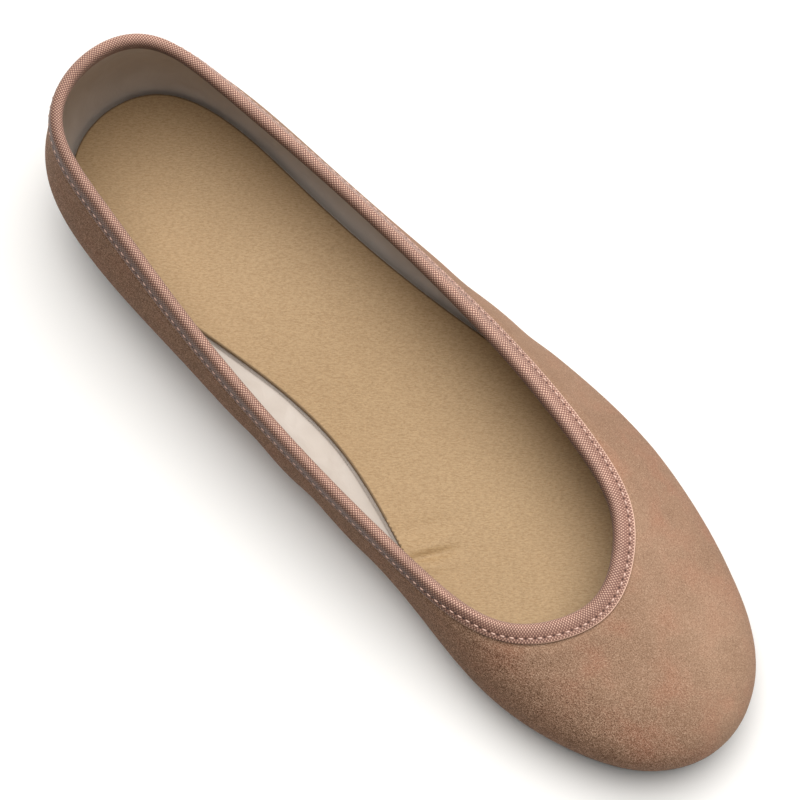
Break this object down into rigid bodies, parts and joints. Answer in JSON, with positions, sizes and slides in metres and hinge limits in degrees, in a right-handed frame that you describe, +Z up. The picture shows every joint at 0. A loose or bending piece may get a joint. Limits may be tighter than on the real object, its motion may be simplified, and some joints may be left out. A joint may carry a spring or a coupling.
{
  "type": "ballet flat",
  "caption": "Women's slip-on ballet flat, left shoe: round toe, low cut suede upper with a woven binding folded over the topline, padded insole, thin outsole and low heel.",
  "frame": {"origin": "on the floor, under the centre of the whole shoe's box", "axes": "+X from heel to toe, +Y to the outer (little toe) side of this left shoe, +Z up from the floor"},
  "size_m": [0.2462, 0.0798, 0.0594],
  "materials": {
    "suede": "brushed suede, dusty tan, no gloss",
    "binding_tape": "plain woven cotton tape, dusty rose",
    "insole_leather": "smooth natural tan leather with fine grain",
    "outsole": "matt dark brown",
    "heel_block": "matt dark brown",
    "lining": "smooth off-white lining",
    "stitch_thread": "pale pink sewing thread"
  },
  "bodies": {
    "root": {"upper": "suede", "binding": "binding_tape", "insole": "insole_leather", "outsole": "outsole", "heel": "heel_block"}
  },
  "joints": []
}
